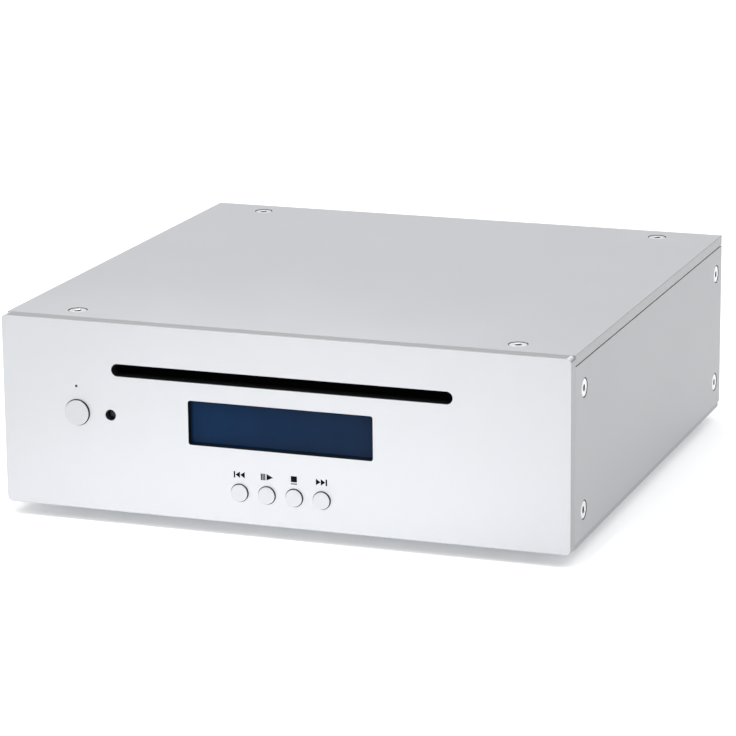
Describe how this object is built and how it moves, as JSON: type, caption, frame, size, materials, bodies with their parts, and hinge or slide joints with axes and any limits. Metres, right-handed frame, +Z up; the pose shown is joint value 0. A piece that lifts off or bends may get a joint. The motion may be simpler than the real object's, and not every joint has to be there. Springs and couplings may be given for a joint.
{
  "type": "cd player",
  "caption": "Slot-loading disc player in a satin aluminium case, with a display window, round push keys, a disc drive, boards, rear sockets and rubber feet.",
  "frame": {"origin": "centre of the bounding box in plan, on the plane under the feet", "axes": "+Z up, the front face looks along -Y, +X to the viewer's right; the disc slot runs along X"},
  "size_m": [0.206, 0.2092, 0.072],
  "materials": {
    "silver_aluminium": "fine bead-blasted and anodised, satin",
    "key_aluminium": "turned, satin anodised",
    "stainless_screw": "turned stainless",
    "zinc_steel": "zinc-plated sheet",
    "black_steel": "black powder coat",
    "window_pane": "tinted polished pane",
    "black_plastic": "moulded",
    "ivory_plastic": "moulded acetal",
    "white_plastic": "moulded",
    "board_green": "solder resist over glass laminate",
    "felt": "short black pile",
    "rubber_black": "moulded",
    "brass_plated": "gold-coloured plating",
    "lamp_clear": "clear moulded",
    "ribbon_grey": "flat cable sheath",
    "motor_steel": "drawn can"
  },
  "bodies": {
    "case": {"front_panel": "silver_aluminium", "top_cover": "silver_aluminium", "left_side_panel": "silver_aluminium", "right_side_panel": "silver_aluminium", "rear_panel": "black_steel", "base_plate": "zinc_steel", "front_left_bracket": "zinc_steel", "front_right_bracket": "zinc_steel", "rear_left_bracket": "zinc_steel", "rear_right_bracket": "zinc_steel", "cover_screws": "stainless_screw", "side_screws": "stainless_screw", "frame_screws": "stainless_screw", "rubber_feet": "rubber_black", "foot_screws": "stainless_screw", "display_window": "window_pane", "display_module": "black_plastic", "front_board": "board_green", "key_switches": "black_plastic", "key_guides": "black_plastic", "ir_window": "window_pane", "ir_receiver": "black_plastic", "power_led": "lamp_clear", "dust_felts": "felt", "main_board": "board_green", "board_posts": "brass_plated", "board_screws": "stainless_screw", "processor_chip": "black_plastic", "filter_capacitors": "black_plastic", "power_inlet": "black_plastic", "left_audio_socket": "brass_plated", "right_audio_socket": "brass_plated", "coaxial_socket": "brass_plated", "optical_socket": "black_plastic", "display_ribbon": "ribbon_grey", "drive_ribbon": "ribbon_grey", "drive_base": "zinc_steel", "drive_lid": "zinc_steel", "drive_posts": "brass_plated", "disc_guide": "black_plastic", "loading_motor": "motor_steel"},
    "power_key": {"power_button": "key_aluminium"},
    "previous_key": {"previous_button": "key_aluminium"},
    "play_key": {"play_button": "key_aluminium"},
    "stop_key": {"stop_button": "key_aluminium"},
    "next_key": {"next_button": "key_aluminium"},
    "load_roller": {"roller_shaft": "stainless_screw", "roller_rubber": "rubber_black"},
    "idler": {"loading_gear": "ivory_plastic"},
    "pinion": {"loading_pinion": "brass_plated"},
    "cam": {"cam_frame": "ivory_plastic"},
    "deck": {"deck_plate": "zinc_steel", "spindle_motor": "motor_steel", "sled_rods": "stainless_screw", "sled_motor": "motor_steel"},
    "platter": {"turntable": "white_plastic"},
    "pickup": {"laser_sled": "black_plastic"},
    "screw_drive": {"lead_screw": "stainless_screw"},
    "clamp": {"clamp_arm": "zinc_steel"},
    "puck": {"clamp_puck": "black_plastic"}
  },
  "joints": [
    {"name": "power_press", "type": "slide", "parent": "case", "child": "power_key", "axis": [0, 1, 0], "range_m": [0, 0.0007], "stiffness_N_per_m": 900, "springref_m": -0.0006},
    {"name": "previous_press", "type": "slide", "parent": "case", "child": "previous_key", "axis": [0, 1, 0], "range_m": [0, 0.0007], "stiffness_N_per_m": 900, "springref_m": -0.0006},
    {"name": "play_press", "type": "slide", "parent": "case", "child": "play_key", "axis": [0, 1, 0], "range_m": [0, 0.0007], "stiffness_N_per_m": 900, "springref_m": -0.0006},
    {"name": "stop_press", "type": "slide", "parent": "case", "child": "stop_key", "axis": [0, 1, 0], "range_m": [0, 0.0007], "stiffness_N_per_m": 900, "springref_m": -0.0006},
    {"name": "next_press", "type": "slide", "parent": "case", "child": "next_key", "axis": [0, 1, 0], "range_m": [0, 0.0007], "stiffness_N_per_m": 900, "springref_m": -0.0006},
    {"name": "roller_turn", "type": "hinge", "parent": "case", "child": "load_roller", "pos_m": [0, -0.08185, 0.049], "axis": [1, 0, 0], "continuous": true},
    {"name": "idler_turn", "type": "hinge", "parent": "case", "child": "idler", "pos_m": [0.064, -0.06865, 0.049], "axis": [1, 0, 0], "continuous": true},
    {"name": "pinion_turn", "type": "hinge", "parent": "case", "child": "pinion", "pos_m": [0.064, -0.06169, 0.04154], "axis": [1, 0, 0], "continuous": true},
    {"name": "deck_rise", "type": "slide", "parent": "case", "child": "deck", "axis": [0, 0, 1], "range_m": [0, 0.0033]},
    {"name": "cam_slide", "type": "slide", "parent": "case", "child": "cam", "axis": [0, 1, 0], "range_m": [0, 0.01]},
    {"name": "platter_turn", "type": "hinge", "parent": "deck", "child": "platter", "pos_m": [0, -0.01185, 0.05], "axis": [0, 0, 1], "continuous": true},
    {"name": "pickup_slide", "type": "slide", "parent": "deck", "child": "pickup", "axis": [0, 1, 0], "range_m": [0, 0.034]},
    {"name": "screw_turn", "type": "hinge", "parent": "deck", "child": "screw_drive", "pos_m": [0.0315, 0.02615, 0.0419], "axis": [0, 1, 0], "range_deg": [0, 4080.5]},
    {"name": "clamp_drop", "type": "hinge", "parent": "case", "child": "clamp", "pos_m": [0, 0.05415, 0.06], "axis": [1, 0, 0], "range_deg": [0, 1.6]},
    {"name": "puck_turn", "type": "hinge", "parent": "clamp", "child": "puck", "pos_m": [0, -0.01185, 0.06], "axis": [0, 0, 1], "continuous": true}
  ],
  "couplings": [
    {"joint": "idler_turn", "follows": "roller_turn", "ratio": -0.83333},
    {"joint": "pinion_turn", "follows": "roller_turn", "ratio": 2},
    {"joint": "cam_slide", "follows": "deck_rise", "ratio": 3.03},
    {"joint": "clamp_drop", "follows": "deck_rise", "rad_per_m": 8.2506},
    {"joint": "screw_turn", "follows": "pickup_slide", "rad_per_m": 2094.4}
  ]
}
